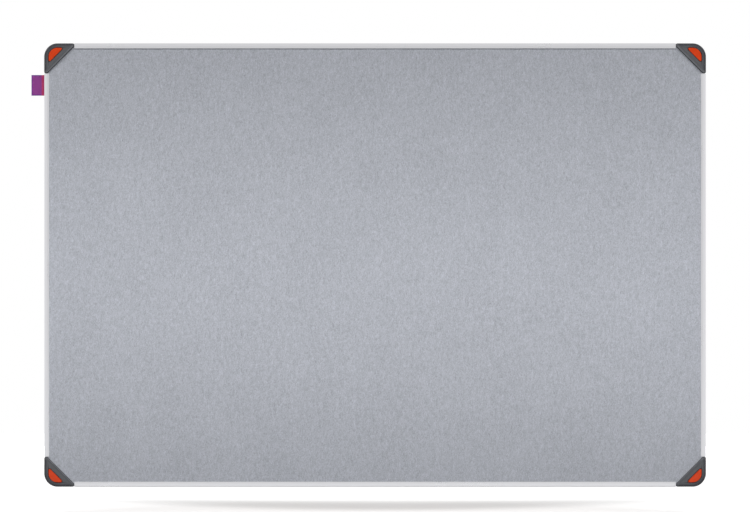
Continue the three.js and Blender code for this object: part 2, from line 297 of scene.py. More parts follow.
def mirrored(corners):
    """The same corners on the other side of the line x = y."""
    return [Corner(c.y, c.x, c.radius, c.steps) for c in reversed(corners)]


def both_legs(first, *leg):
    """An outline round one of the board's corners: a first corner, one leg and the other leg."""
    return [first, *leg, *mirrored(leg)]


def rectangle(left, bottom, right, top, radius=0):
    places = ((left, bottom), (right, bottom), (right, top), (left, top))
    return [Corner(x, y, radius) for x, y in places]


def inside(points, x, y):
    """Whether a place lies inside an outline: a line to its right crosses it an odd number of times."""
    crossings = 0
    for (x1, y1), (x2, y2) in zip(points, points[1:] + points[:1]):
        if (y1 > y) != (y2 > y) and x < x1 + (x2 - x1) * (y - y1) / (y2 - y1):
            crossings += 1
    return crossings % 2 == 1


def quarter_arc(steps=FEW_STEPS):
    """The sine and the cosine of each step along a quarter turn."""
    for step in range(steps + 1):
        angle = QUARTER_TURN * step / steps
        yield sin(angle), cos(angle)


def placed(name, data):
    """A new object in the scene."""
    made = bpy.data.objects.new(name, data)
    bpy.context.scene.collection.objects.link(made)
    return made


# Closed meshes


def mesh_of(points, faces):
    mesh = bpy.data.meshes.new("shape")
    mesh.from_pydata([tuple(p) for p in points], [], faces)
    return mesh


def faces_of(*corners):
    """Faces from the indices of their corners, one array for each corner in turn."""
    return [tuple(face) for face in np.stack(corners, -1).reshape(-1, len(corners)).tolist()]


def strips(first, size, count):
    """The four-sided faces between rings of points that follow each other from a first point on."""
    faces = []
    for base in range(first, first + size * count, size):
        for i in range(size):
            after = (i + 1) % size
            faces.append((base + i, base + after, base + after + size, base + i + size))
    return faces


def tube(points, size, flipped=False):
    """A closed mesh through rings of points, the first and the last ring filled in."""
    last = len(points) - size
    faces = [tuple(reversed(range(size)))]
    faces += strips(0, size, last // size)
    faces.append(tuple(range(last, last + size)))
    if flipped:
        faces = [face[:1] + face[:0:-1] for face in faces]
    return mesh_of(points, faces)


def spindle(points, size):
    """A closed mesh through rings of points, drawn together at its first and its last point."""
    last = len(points) - 1
    faces = [(0, 1 + (i + 1) % size, 1 + i) for i in range(size)]
    faces += strips(1, size, last // size - 1)
    base = last - size
    faces += [(base + i, base + (i + 1) % size, last) for i in range(size)]
    return mesh_of(points, faces)


def loft(rings):
    """A closed mesh through rings of equally many points, each a list of corners and a height."""
    points = [(p.x, p.y, height) for corners, height in rings for p in outline(corners)]
    return tube(points, len(points) // len(rings))


def prism(corners, low, high):
    return loft([(corners, low), (corners, high)])


def rounded_rings(corners, level, radius, towards):
    """Rings that round an edge: from the face at the level to the upright side behind it."""
    rings = []
    for rise, run in quarter_arc():
        rings.append((drawn_in(corners, radius * (1 - rise)), level - towards * radius * (1 - run)))
    return rings


def rounded_prism(corners, low, high, low_radius, high_radius):
    """A prism with its lower and upper edges rounded."""
    base = rounded_rings(corners, low, low_radius, -1)
    top = rounded_rings(corners, high, high_radius, 1)
    return loft(base + top[::-1])


def turned_ring(height, radius_at):
    """Points round the upright axis, at a radius that depends on the share of the turn."""
    points = []
    for i in range(ROUND_STEPS):
        share = i / ROUND_STEPS
        radius = radius_at(share)
        points.append((radius * cos(tau * share), radius * sin(tau * share), height))
    return points


def lathe(profile):
    """A closed turned mesh. The profile is (radius, height) from the lower pole to the upper one."""
    points = [(0, 0, profile[0][1])]
    for radius, height in profile[1:-1]:
        points += turned_ring(height, lambda share: radius)
    points.append((0, 0, profile[-1][1]))
    return spindle(points, ROUND_STEPS)


def moved(mesh, matrix):
    mesh.transform(matrix)
    return mesh


def on_plan(x=0, y=0, angle=0):
    """A turn on the plan, and then a move to a place."""
    return Matrix.Translation((x, y, 0)) @ Matrix.Rotation(angle, 4, "Z")


def bar(x, y, radius, low, high):
    """A round bar that stands on the plan."""
    mesh = lathe([(0, low), (radius, low), (radius, high), (0, high)])
    return moved(mesh, on_plan(x, y))


def combined(operation, base, *tools):
    """The mesh that joins, cuts or clips the base with the tools."""
    body = placed("body", base)
    helpers = [placed("tool", tool) for tool in tools]
    for helper in helpers:
        modifier = body.modifiers.new("combine", "BOOLEAN")
        modifier.operation = operation
        modifier.solver = "EXACT"
        modifier.object = helper
    bpy.context.view_layer.update()
    graph = bpy.context.evaluated_depsgraph_get()
    mesh = bpy.data.meshes.new_from_object(body.evaluated_get(graph))
    for helper in (body, *helpers):
        bpy.data.objects.remove(helper)
    return without_slivers(mesh)


def without_slivers(mesh):
    """The mesh with points that all but touch made one, and the faces between them gone."""
    work = bmesh.new()
    work.from_mesh(mesh)
    bmesh.ops.remove_doubles(work, verts=work.verts, dist=WELD)
    bmesh.ops.dissolve_degenerate(work, edges=work.edges, dist=WELD)
    work.to_mesh(mesh)
    work.free()
    return mesh


# Pieces


def upright(mesh, x=0, y=0, turns=0):
    """The mesh turned on the plan, put in its place and stood upright, in metres."""
    stand = Matrix.Scale(MILLIMETRE, 4) @ Matrix.Rotation(QUARTER_TURN, 4, "X")
    return moved(mesh, stand @ on_plan(x, y, turns * QUARTER_TURN))


def piece(name, mesh, material, body, slot, *nodes):
    """A shown piece that rides on a body and stands for the given nodes."""
    mesh.name = name
    mesh.materials.clear()
    mesh.materials.append(material)
    mesh.polygons.foreach_set("use_smooth", [True] * len(mesh.polygons))
    mesh.set_sharp_from_angle(angle=SMOOTH_ANGLE)
    made = placed(name, mesh)
    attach(made, body)
    if nodes:
        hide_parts(*nodes)
    return made


def crisp(made):
    """Flat faces beside small roundings keep their even shading."""
    modifier = made.modifiers.new("even_shading", "WEIGHTED_NORMAL")
    modifier.keep_sharp = True


def fine_piece(node, mesh, place, material, body, slot):
    """A finely shaped piece that stands for one node, in its place on the plan."""
    return piece(node + "_fine", upright(mesh, *place), material, body, slot, node)


# Corner mouldings


def moulding_corners():
    """Two legs along the board's outer sides, with a slanted side between them."""
    return both_legs(
        Corner(0, 0, OUTER_RADIUS, WIDE_STEPS),
        Corner(LEG_LENGTH, 0, LEG_END_RADIUS),
        Corner(LEG_LENGTH, RAIL_INNER, MOULDING_ROUNDING),
        Corner(PLATE_REACH - RAIL_INNER, RAIL_INNER),
    )


def block_corners():
    """The block round the well, in the rough: two strips along the outer sides and a slanted side."""
    end = LEG_LENGTH + OVERRUN
    return both_legs(
        Corner(-OVERRUN, -OVERRUN),
        Corner(end, -OVERRUN),
        Corner(end, CHANNEL_OUTER),
        Corner(BLOCK_REACH - CHANNEL_OUTER, CHANNEL_OUTER),
    )


def plate_corners(inset=0, reach=PLATE_REACH):
    """The front plate, drawn in from the outer sides and the legs' ends alone."""
    end = LEG_LENGTH - inset
    tip = [Corner(reach - inset, inset, FIELD_TIP_RADIUS)]
    if reach > LEG_LENGTH:
        tip = [Corner(end, inset, LEG_END_RADIUS), Corner(end, reach - end, PLATE_END_RADIUS)]
    return both_legs(Corner(inset, inset, OUTER_RADIUS, WIDE_STEPS), *tip)


def plate_blank(front, reach=PLATE_REACH, margin=0):
    """The plate with its rounded border and crowned field, up to a given front."""
    rings = [(plate_corners(margin, reach), LIP_BACK)]
    for rise, run in quarter_arc(BORDER_STEPS):
        inset = BORDER_WIDTH * (1 - run)
        drop = CROWN_DROP + (BORDER_DROP - CROWN_DROP) * (1 - rise)
        rings.append((plate_corners(margin + inset, reach), front - drop))
    for step in range(1, FEW_STEPS + 1):
        share = step / FEW_STEPS
        inset = BORDER_WIDTH + CROWN_WIDTH * share
        rings.append((plate_corners(margin + inset, reach), front - CROWN_DROP * (1 - share) ** 2))
    return loft(rings)


def bead_section():
    """The bead and its groove: x inwards from the plate's slanted side, y from the wall."""
    ridge = MOULDING_FRONT + BEAD_HEIGHT
    groove = MOULDING_FRONT - GROOVE_DEPTH
    back = LIP_BACK + SEAM
    section = [(-OVERRUN, back), (-OVERRUN, PLATE_SIDE)]
    for rise, run in quarter_arc():
        section.append((BEAD_SHOULDER * (1 - run), PLATE_SIDE + (ridge - PLATE_SIDE) * rise))
    for step in range(1, FEW_STEPS + 1):
        share = step / FEW_STEPS
        x = BEAD_SHOULDER + (BEAD_WIDTH - BEAD_SHOULDER) * share
        section.append((x, groove + (ridge - groove) * (1 + cos(pi * share)) / 2))
    end = BEAD_WIDTH + GROOVE_WIDTH
    return section + [(end, groove), (end + FIT_GAP, groove), (end + FIT_GAP, back)]


def bead_mesh():
    """The raised bead along the plate's slanted side, with its ends rounded as the border is."""
    section = bead_section()
    half = PLATE_REACH / sqrt(2)
    points = [(half - x, y, z) for y in (-half, half) for x, z in section]
    bead = tube(points, len(section), flipped=True)
    slanted = moved(bead, on_plan(angle=QUARTER_TURN / 2))
    return combined("INTERSECT", slanted, plate_blank(MOULDING_FRONT + BEAD_HEIGHT, margin=2 * SEAM))


def cover_corners(inset=0):
    """The cover: a round side along the board's corner and a slanted side."""
    margin = COVER_MARGIN + inset
    tip = COVER_REACH - inset * sqrt(2) - margin
    return both_legs(
        Corner(margin, margin, COVER_RADIUS - inset, WIDE_STEPS),
        Corner(tip, margin, COVER_END_RADIUS - inset),
    )


def well_cutter():
    """The well under the cover, with a rounded lead-in at its mouth."""
    rings = [(cover_corners(-FIT_GAP), WELL_FLOOR)]
    for rise, run in quarter_arc():
        height = MOULDING_FRONT - WELL_LEAD_IN * (1 - rise)
        rings.append((cover_corners(-FIT_GAP - WELL_LEAD_IN * (1 - run)), height))
    rings.append((cover_corners(-FIT_GAP - WELL_LEAD_IN), MOULDING_FRONT + OVERRUN))
    return loft(rings)


def spigot_corners():
    """One spigot, which fills a rail's chamber."""
    start = LEG_LENGTH - OVERRUN
    end = LEG_LENGTH + SPIGOT_LENGTH
    low = CHANNEL_OUTER + FIT_GAP
    high = RAIL_INNER - RAIL_WALL - FIT_GAP
    return [
        Corner(start, low),
        Corner(end - SPIGOT_TIP, low),
        Corner(end, low + SPIGOT_TIP),
        Corner(end, high - SPIGOT_TIP),
        Corner(end - SPIGOT_TIP, high),
        Corner(start, high),
    ]


def spigot_mesh(corners):
    low = CHAMBER_BACK + FIT_GAP
    high = CHAMBER_FRONT - FIT_GAP
    return rounded_prism(corners, low, high, MOULDING_ROUNDING / 2, MOULDING_ROUNDING / 2)


def coring_corners():
    """The hollow in the back of one leg."""
    near = PLATE_REACH - RAIL_INNER
    far = LEG_LENGTH - CORING_WALL
    return rectangle(near, CORING_WALL, far, RAIL_INNER - CORING_WALL, CORING_RADIUS)


def coring_cutter(corners):
    """A hollow with a softened mouth and a rounded floor."""
    flared = drawn_in(corners, -CORING_MOUTH)
    mouth = [(flared, -OVERRUN), (flared, 0), (corners, CORING_MOUTH)]
    floor = rounded_rings(corners, CORING_DEPTH, CORING_RADIUS / 2, 1)
    return loft(mouth + floor[::-1])


def on_both_legs(shape, corners):
    """One shape for each leg of a moulding, the second from the mirrored outline."""
    return shape(corners), shape(mirrored(corners))


def hole_cutter():
    """The wall screw's hole, with both its mouths chamfered."""
    hole = WALL_SCREW_HOLE_RADIUS
    mouth = hole + HOLE_CHAMFER
    end = WELL_FLOOR + OVERRUN
    profile = [(0, -OVERRUN), (mouth, -OVERRUN), (mouth, 0), (hole, HOLE_CHAMFER)]
    profile += [(hole, WELL_FLOOR - HOLE_CHAMFER), (mouth, WELL_FLOOR), (mouth, end), (0, end)]
    return moved(lathe(profile), on_plan(WELL_CENTRE, WELL_CENTRE))


def with_painted_rim_shade(mesh):
    """The mesh with its points round the well's mouth marked, for the painted shade: a dark line round the
    cover that fades down the well's walls.
    """
    mouth = outline(cover_corners(-FIT_GAP - WELL_LEAD_IN + SEAM))
    bottom = MOULDING_FRONT - WELL_LEAD_IN - SEAM
    marks = [float(v.co.z > bottom and inside(mouth, v.co.x, v.co.y)) for v in mesh.vertices]
    mesh.attributes.new(PAINTED_RIM_SHADE_MARK, "FLOAT", "POINT").data.foreach_set("value", marks)
    return mesh


def moulding_mesh():
    """Legs, the block round the well, the crowned plate with its bead, and two spigots."""
    rear = rounded_prism(moulding_corners(), 0, LEDGE_FRONT, MOULDING_ROUNDING, SEAM)
    whole = prism(plate_corners(SEAM), OVERRUN, PLATE_SIDE - SEAM)
    block = combined("INTERSECT", whole, prism(block_corners(), 0, PLATE_SIDE + OVERRUN))
    spigots = on_both_legs(spigot_mesh, spigot_corners())
    corings = on_both_legs(coring_cutter, coring_corners())
    pilots = [bar(x, y, SCREW_RADIUS + FIT_GAP, 0, LEDGE_FRONT) for _, x, y in SCREW_PLACES]
    plate = plate_blank(MOULDING_FRONT, PLATE_REACH - (BEAD_WIDTH + GROOVE_WIDTH) * sqrt(2))
    body = combined("UNION", rear, block, plate, bead_mesh(), *spigots)
    return with_painted_rim_shade(combined("DIFFERENCE", body, *corings, *pilots, well_cutter(), hole_cutter()))


# Covers


def cover_mesh():
    """A plate with a rounded edge, on two legs with room between them for a screw's head."""
    plate = [(cover_corners(), COVER_BACK)]
    for rise, run in quarter_arc():
        height = COVER_FRONT - COVER_FACE_DROP - COVER_ROUNDING * (1 - rise)
        plate.append((cover_corners(COVER_ROUNDING * (1 - run)), height))
    leg_end = COVER_BACK - COVER_LEG_LENGTH
    legs = loft([
        (cover_corners(COVER_LEG_INSET + COVER_LEG_TIP), leg_end),
        (cover_corners(COVER_LEG_INSET), leg_end + COVER_LEG_TIP),
        (cover_corners(COVER_LEG_INSET), COVER_BACK + COVER_THICKNESS / 2),
    ])
    space = rectangle(-OUTER_RADIUS, -HEAD_SPACE, OUTER_RADIUS, HEAD_SPACE)
    place = on_plan(WELL_CENTRE, WELL_CENTRE, QUARTER_TURN / 2)
    room = moved(prism(space, leg_end - OVERRUN, COVER_BACK), place)
    return combined("UNION", loft(plate), combined("DIFFERENCE", legs, room))


# Rails


def rail_corners():
    """A rail's section: x inwards from the board's outer side, y from the wall to the front."""
    ridge = LIP_INNER - LIP_WIDTH * RAIL_RIDGE_SHARE
    return [
        Corner(RAIL_OUTER, FOOT_HEIGHT, RAIL_BACK_RADIUS),
        Corner(RAIL_INNER, FOOT_HEIGHT, LIP_EDGE_RADIUS),
        Corner(RAIL_INNER, LEDGE_FRONT, LIP_EDGE_RADIUS),
        Corner(CHANNEL_OUTER, LEDGE_FRONT),
        Corner(CHANNEL_OUTER, LIP_BACK),
        Corner(LIP_INNER, LIP_BACK, LIP_EDGE_RADIUS),
        Corner(LIP_INNER, RAIL_FRONT - RAIL_INNER_DROP, LIP_EDGE_RADIUS),
        Corner(ridge, RAIL_FRONT, RAIL_RIDGE_RADIUS),
        Corner(RAIL_OUTER, RAIL_FRONT - RAIL_OUTER_DROP, RAIL_FRONT_RADIUS),
    ]


def rail_mesh(side):
    """A rail along x, in the middle of its side of the board, its cut ends a little softened."""
    half = side / 2 - LEG_LENGTH - BUTT_GAP
    section = rail_corners()
    ends = drawn_in(section, RAIL_END_ROUNDING)
    rail = loft([
        (ends, -half),
        (section, RAIL_END_ROUNDING - half),
        (section, half - RAIL_END_ROUNDING),
        (ends, half),
    ])
    chamber = rectangle(CHANNEL_OUTER, CHAMBER_BACK, RAIL_INNER - RAIL_WALL, CHAMBER_FRONT)
    hollow = prism(chamber, -half - OVERRUN, half + OVERRUN)
    along_x = Matrix(((0, 0, 1, 0), (1, 0, 0, 0), (0, 1, 0, 0), (0, 0, 0, 1)))
    screw_x = side / 2 - LEG_LENGTH - SCREW_REACH
    radius = SCREW_RADIUS + FIT_GAP
    low = FOOT_HEIGHT - OVERRUN
    high = CHAMBER_BACK + OVERRUN
    holes = [bar(x, SCREW_INSET, radius, low, high) for x in (-screw_x, screw_x)]
    return combined("DIFFERENCE", moved(rail, along_x), moved(hollow, along_x), *holes)


# Screws


def screw_mesh():
    """A pan-head self-tapping screw, its head towards the wall, under a rail's back."""
    head_low = FOOT_HEIGHT - SCREW_HEAD_HEIGHT
    profile = [(0, head_low)]
    for rise, run in list(quarter_arc())[1:]:
        height = FOOT_HEIGHT - SCREW_HEAD_HEIGHT * run ** SCREW_HEAD_POWER
        profile.append((SCREW_HEAD_RADIUS * rise ** SCREW_HEAD_POWER, height))
    profile += [(SCREW_RADIUS - THREAD_DEPTH, FOOT_HEIGHT), (0, FOOT_HEIGHT)]
    half_length = RECESS_LENGTH / 2
    half_width = RECESS_WIDTH / 2
    mouth = rectangle(-half_length, -half_width, half_length, half_width)
    bottom = drawn_in(mouth, RECESS_WIDTH * RECESS_TAPER_SHARE)
    slots = []
    for turn in (0, QUARTER_TURN):
        slot = loft([
            (mouth, head_low - OVERRUN),
            (mouth, head_low),
            (bottom, head_low + RECESS_DEPTH),
        ])
        slots.append(moved(slot, on_plan(angle=turn)))
    return combined("UNION", combined("DIFFERENCE", lathe(profile), *slots), thread_mesh())


def thread_mesh():
    """A shank whose radius follows one winding ridge, drawn to a point at its end."""
    low = FOOT_HEIGHT - THREAD_DEPTH
    end = FOOT_HEIGHT + SCREW_LENGTH
    core = SCREW_RADIUS - THREAD_DEPTH
    rings = int((end - low) / THREAD_PITCH * ROUND_STEPS / 2)
    points = [(0, 0, low)]
    for ring in range(rings):
        height = low + (end - low) * ring / rings
        narrowing = min(1, (end - height) / SCREW_POINT)

        def radius_at(share):
            ridge = 1 - abs(2 * ((height / THREAD_PITCH - share) % 1) - 1)
            return (core + THREAD_DEPTH * ridge ** 2) * narrowing

        points += turned_ring(height, radius_at)
    points.append((0, 0, end))
    return spindle(points, ROUND_STEPS)


# Felt


def smooth(share):
    """A share that starts and ends level."""
    return share * share * (3 - 2 * share)


def soft_noise(x, y, cell, seed):
    """Smooth random values from -1 to 1, with bumps about a cell wide."""
    side = FELT_TABLE_SIDE
    table = np.random.default_rng(seed).uniform(-1, 1, (side, side))
    column = np.floor(x / cell).astype(int)
    row = np.floor(y / cell).astype(int)
    s = smooth(x / cell - column)
    t = smooth(y / cell - row)

    def at(i, j):
        return table[(column + i) % side, (row + j) % side]

    near = at(0, 0) * (1 - s) + at(1, 0) * s
    far = at(0, 1) * (1 - s) + at(1, 1) * s
    return near * (1 - t) + far * t


def felt_height(x, y):
    """How far the felt's face stands from the wall: never past its front."""
    height = np.full_like(x, FELT_FRONT)
    for seed, (cell, size) in enumerate(zip(FELT_BUMP_CELLS, FELT_BUMP_HEIGHTS)):
        height += size * (soft_noise(x, y, cell, seed) - 1) / 2
    return height


def felt_mesh():
    """A sheet with soft dimples and a softened edge, its corners cut off behind the mouldings."""
    right = felt_high.x
    top = felt_high.y
    cut_y = HALF_HEIGHT - (PANEL_REACH - (HALF_WIDTH - right))
    columns = int(2 * right / FELT_GRID)
    rows = int(2 * top / FELT_GRID)
    across = np.linspace(-1, 1, columns + 1)
    up = np.linspace(-top, top, rows + 1)
    half = right - np.maximum(0, np.abs(up) - cut_y)
    x = across[None, :] * half[:, None]
    y = np.repeat(up[:, None], columns + 1, axis=1)
    z = felt_height(x, y)
    rim = np.ones_like(z, bool)
    rim[1:-1, 1:-1] = False
    z[rim] -= FELT_SOFT_EDGE
    front = np.stack([x, y, z], -1).reshape(-1, 3)
    index = np.arange(len(front)).reshape(rows + 1, columns + 1)
    loop = [*index[0, :-1], *index[:-1, -1], *index[-1, :0:-1], *index[:0:-1, 0]]
    back = front[loop]
    back[:, 2] = FELT_BACK
    points = np.concatenate([front, back])
    faces = faces_of(index[:-1, :-1], index[:-1, 1:], index[1:, 1:], index[1:, :-1])
    start = len(front)
    for i, here in enumerate(loop):
        after = (i + 1) % len(loop)
        faces.append((int(here), start + i, start + after, int(loop[after])))
    faces.append(tuple(reversed(range(start, start + len(loop)))))
    return mesh_of(points, faces)


def fibre_mesh():
    """Loose fibres that rise a little out of the felt and dip back into it."""
    chance = np.random.default_rng(FIBRE_SEED)
    count = FIBRE_COUNT
    length = chance.uniform(*FIBRE_LENGTHS, count)
    margin = LIP_INNER + max(FIBRE_LENGTHS)
    x = chance.uniform(margin - HALF_WIDTH, HALF_WIDTH - margin, count)
    y = chance.uniform(margin - HALF_HEIGHT, HALF_HEIGHT - margin, count)
    clear = (HALF_WIDTH - np.abs(x)) + (HALF_HEIGHT - np.abs(y)) > PLATE_REACH + 2 * margin
    x, y, length = x[clear], y[clear], length[clear]
    count = len(x)
    heading = QUARTER_TURN + chance.normal(0, FIBRE_LEAN_SPREAD, count)
    bend = chance.normal(0, FIBRE_BEND_SPREAD, count)
    lift = chance.uniform(*FIBRE_LIFT_SHARES, count) * FIBRE_LIFT
    share = np.linspace(0, 1, FIBRE_SEGMENTS + 1)
    arch = np.sin(pi * share)
    angle = heading[:, None] + bend[:, None] * (share - 1 / 2)
    step = length[:, None] / FIBRE_SEGMENTS
    px = x[:, None] + np.cumsum(np.cos(angle) * step, 1)
    py = y[:, None] + np.cumsum(np.sin(angle) * step, 1)
    pz = felt_height(px, py) - FIBRE_RADIUS + lift[:, None] * (arch - FIBRE_SUNK_SHARE)
    middle = np.stack([px, py, pz], -1)
    side = np.stack([-np.sin(angle), np.cos(angle), np.zeros_like(angle)], -1)
    thick = FIBRE_RADIUS * (FIBRE_TIP_SHARE + (1 - FIBRE_TIP_SHARE) * arch)[None, :, None]
    rings = []
    for turn in range(FIBRE_SIDES):
        around = QUARTER_TURN + tau * turn / FIBRE_SIDES
        rings.append(middle + thick * (cos(around) * side + sin(around) * np.array([0, 0, 1])))
    points = np.stack(rings, 2).reshape(-1, 3)
    index = np.arange(len(points)).reshape(count, FIBRE_SEGMENTS + 1, FIBRE_SIDES)
    faces = []
    for here in range(FIBRE_SIDES):
        after = (here + 1) % FIBRE_SIDES
        near, far = index[:, :-1], index[:, 1:]
        faces += faces_of(near[..., here], near[..., after], far[..., after], far[..., here])
    faces += [tuple(ring) for ring in index[:, 0, ::-1].tolist()]
    faces += [tuple(ring) for ring in index[:, -1].tolist()]
    return mesh_of(points, faces)


# The side label


def ribbon_path():
    """The folded ribbon's middle line, from its front end out to the fold and back."""
    front = FOOT_HEIGHT - LIP_GAP - RIBBON_THICKNESS / 2
    radius = (RIBBON_THICKNESS + RIBBON_GAP) / 2
    back = front - 2 * radius
    tucked = RAIL_OUTER + TAB_TUCK - HALF_WIDTH
    turn_x = TAB_FOLD + radius + RIBBON_THICKNESS / 2
    steps = int((tucked - turn_x) / RIBBON_GRID)
    straight = np.linspace(tucked, turn_x, steps + 1)
    points = [(x, front) for x in straight]
    for step in range(1, FEW_STEPS):
        angle = QUARTER_TURN + pi * step / FEW_STEPS
        points.append((turn_x + radius * cos(angle), back + radius + radius * sin(angle)))
    points += [(x, back) for x in straight[::-1]]
    return np.array(points)


def ribbon_section():
    """The places round the ribbon: up and down its width, and out of its middle, with round edges."""
    half = RIBBON_THICKNESS / 2
    low = TAB_BOTTOM + half
    high = TAB_TOP - half
    across = np.linspace(high, low, int((high - low) / RIBBON_GRID) + 1)
    bends = np.linspace(0, pi, FEW_STEPS)[1:-1]
    section = [(y, half) for y in across]
    section += [(low - half * sin(bend), half * cos(bend)) for bend in bends]
    section += [(y, -half) for y in across[::-1]]
    section += [(high + half * sin(bend), -half * cos(bend)) for bend in bends]
    return np.array(section)


def ribbon_mesh():
    """A folded ribbon with rounded woven edges and a slight wave."""
    path = ribbon_path()
    step = np.gradient(path, axis=0)
    step /= np.linalg.norm(step, axis=1)[:, None]
    normal = np.stack([step[:, 1], -step[:, 0]], -1)
    up, out = ribbon_section().T
    wave_share = RIBBON_WAVE / (RIBBON_THICKNESS / 2) * np.abs(np.sin(up / RIBBON_GRID))
    out = out * (1 - wave_share)
    points = []
    for (x, z), (nx, nz) in zip(path, normal):
        points += list(zip(x + nx * out, up, z + nz * out))
    return tube(points, len(up), flipped=True)


# Materials

# A grain has the size of its features in millimetres along x, y and z, and how fine and how rough
# it is. It may be turned about y, and shifted so that two alike don't fall together.
Grain = namedtuple("Grain", "width depth length detail rough turn shift", defaults=(2, 0.5, 0, 0))

# The range of most of a noise's values, and the one in which a dash fades from its middle outwards
USUAL_NOISE = (0.3, 0.7)
DASH_FADE = (0.15, 0.75)


class Nodes:
    """Short names for adding the nodes of a material or of the world."""

    def __init__(self, owner, place):
        owner.use_nodes = True
        self.tree = owner.node_tree
        self.place = self.add("ShaderNodeTexCoord").outputs[place]

    def add(self, kind, settings=(), inputs=()):
        node = self.tree.nodes.new(kind)
        for name, value in dict(settings).items():
            setattr(node, name, value)
        for name, value in dict(inputs).items():
            self.feed(node.inputs[name], value)
        return node

    def feed(self, socket, value):
        if isinstance(value, bpy.types.NodeSocket):
            self.tree.links.new(value, socket)
        else:
            socket.default_value = value

    def math(self, operation, *values):
        return self.add("ShaderNodeMath", {"operation": operation}, enumerate(values)).outputs[0]

    def times(self, first, second):
        return self.math("MULTIPLY", first, second)

    def added(self, total, *others):
        for other in others:
            total = self.math("ADD", total, other)
        return total

    def scaled(self, value, low, high, to_low, to_high):
        values = enumerate((value, low, high, to_low, to_high))
        return self.add("ShaderNodeMapRange", (), values).outputs[0]

    def eased(self, value, *ranges):
        """A value scaled along a smooth curve, level at both its ends."""
        result = self.scaled(value, *ranges)
        result.node.interpolation_type = "SMOOTHSTEP"
        return result

    def axis(self, name):
        return self.add("ShaderNodeSeparateXYZ", (), {0: self.place}).outputs[name]

    def rays(self):
        """Whether a ray is the camera's own, and whether it comes by way of gloss or glass."""
        path = self.add("ShaderNodeLightPath").outputs
        return path["Is Camera Ray"], self.math("MAXIMUM", path["Is Glossy Ray"], path["Is Transmission Ray"])


class Recipe(Nodes):
    """One material: its surface's fixed numbers, and the nodes that vary it."""

    def __init__(self, name, colour, surface):
        self.material = bpy.data.materials.new(name)
        super().__init__(self.material, "Object")
        self.surface = self.tree.nodes["Principled BSDF"]
        for socket, value in {"Base Color": (*colour, 1), **surface}.items():
            self.vary(socket, value)

    def stretched(self, grain):
        """Coordinates in which a feature of the grain is one unit wide."""
        inputs = {
            "Vector": self.place,
            "Location": (grain.shift, grain.shift, grain.shift),
            "Rotation": (0, grain.turn, 0),
            "Scale": [size * MILLIMETRE for size in (grain.width, grain.depth, grain.length)],
        }
        return self.add("ShaderNodeMapping", {"vector_type": "TEXTURE"}, inputs).outputs[0]

    def noise(self, grain):
        place = self.stretched(grain)
        inputs = {"Vector": place, "Scale": 1, "Detail": grain.detail, "Roughness": grain.rough}
        return self.add("ShaderNodeTexNoise", (), inputs).outputs[0]

    def dashes(self, place):
        """Random dashes: each cell's own value, fading towards its rim."""
        node = self.add("ShaderNodeTexVoronoi", (), {"Vector": place, "Scale": 1})
        value = self.add("ShaderNodeSeparateColor", (), {0: node.outputs["Color"]}).outputs[0]
        fade = self.scaled(node.outputs["Distance"], *DASH_FADE, 1, 0)
        return self.times(self.math("SUBTRACT", value, 1 / 2), fade)

    def around(self, noise, share):
        """A noise spread evenly about zero, as far as a share to each side."""
        return self.scaled(noise, 0, 1, -share, share)

    def ranged(self, noise, low, high):
        """A noise whose usual values run from low to high."""
        return self.scaled(noise, *USUAL_NOISE, low, high)

    def checks(self, length):
        """Squares along x and z that rise and fall in turn, two of them to the length."""
        turns = tau * METRE / length
        return self.times(*(self.math("SINE", self.times(self.axis(name), turns)) for name in "XZ"))

    def past(self, value, place, soft):
        """0 before a place and 1 behind it, with a soft edge, both in millimetres."""
        return self.scaled(value, (place - soft) * MILLIMETRE, (place + soft) * MILLIMETRE, 0, 1)

    def mixed(self, share, first, second):
        colours = [(*colour, 1) if isinstance(colour, tuple) else colour for colour in (first, second)]
        inputs = {0: share, 6: colours[0], 7: colours[1]}
        return self.add("ShaderNodeMix", {"data_type": "RGBA"}, inputs).outputs[2]

    def vary(self, socket, value):
        self.feed(self.surface.inputs[socket], value)

    def shaded(self, colour, factor):
        """Gives the surface a colour, made lighter or darker by a factor near one."""
        inputs = {0: colour, "Scale": factor}
        lit = self.add("ShaderNodeVectorMath", {"operation": "SCALE"}, inputs)
        self.vary("Base Color", lit.outputs[0])

    def bumpy(self, height, millimetres, strength=1):
        inputs = {"Height": height, "Distance": millimetres * MILLIMETRE, "Strength": strength}
        self.vary("Normal", self.add("ShaderNodeBump", (), inputs).outputs[0])


def srgb(*levels):
    """A colour from its levels of 0 to 255 on a screen."""
    return tuple(Color([level / 255 for level in levels]).from_srgb_to_scene_linear())


# Pressed wool felt
FELT_COLOUR = srgb(176, 179, 187)
FELT_LIGHT_COLOUR = srgb(205, 208, 214)
FELT_SURFACE = {"Roughness": 0.95, "Sheen Weight": 0.12, "Sheen Roughness": 0.6}
FELT_MOTTLE = Grain(60, 60, 90)
FELT_CLUMPS = Grain(5, 5, 12, 5, 0.8, turn=0.05)
FELT_FINE = Grain(0.8, 1, 1.5, 2, 0.7, turn=0.15)
FELT_SWAY = Grain(14, 14, 14, 1)
FELT_STREAKS = (
    Grain(0.6, 4, 5, turn=0.06, shift=0.2),
    Grain(0.5, 4, 4, turn=-0.3, shift=0.9),
    Grain(0.5, 4, 4.5, turn=0.35, shift=1.7),
    Grain(0.5, 4, 3, turn=1.2, shift=2.9),
)
FELT_SWAY_SHARE = 3
FELT_MOTTLE_SHARE = 0.05
FELT_CLUMP_SHARE = 0.24
FELT_STREAK_SHARES = (0.24, 0.2, 0.2, 0.12)
FELT_FINE_SHARE = 0.56
FELT_RELIEF_SHARE = 0.5
FELT_RELIEF = 0.25
FELT_RELIEF_STRENGTH = 0.6
FIBRE_SURFACE = {"Roughness": 0.8, "Sheen Weight": 0.2}
FIBRE_TONE = Grain(6, 6, 6, 1)


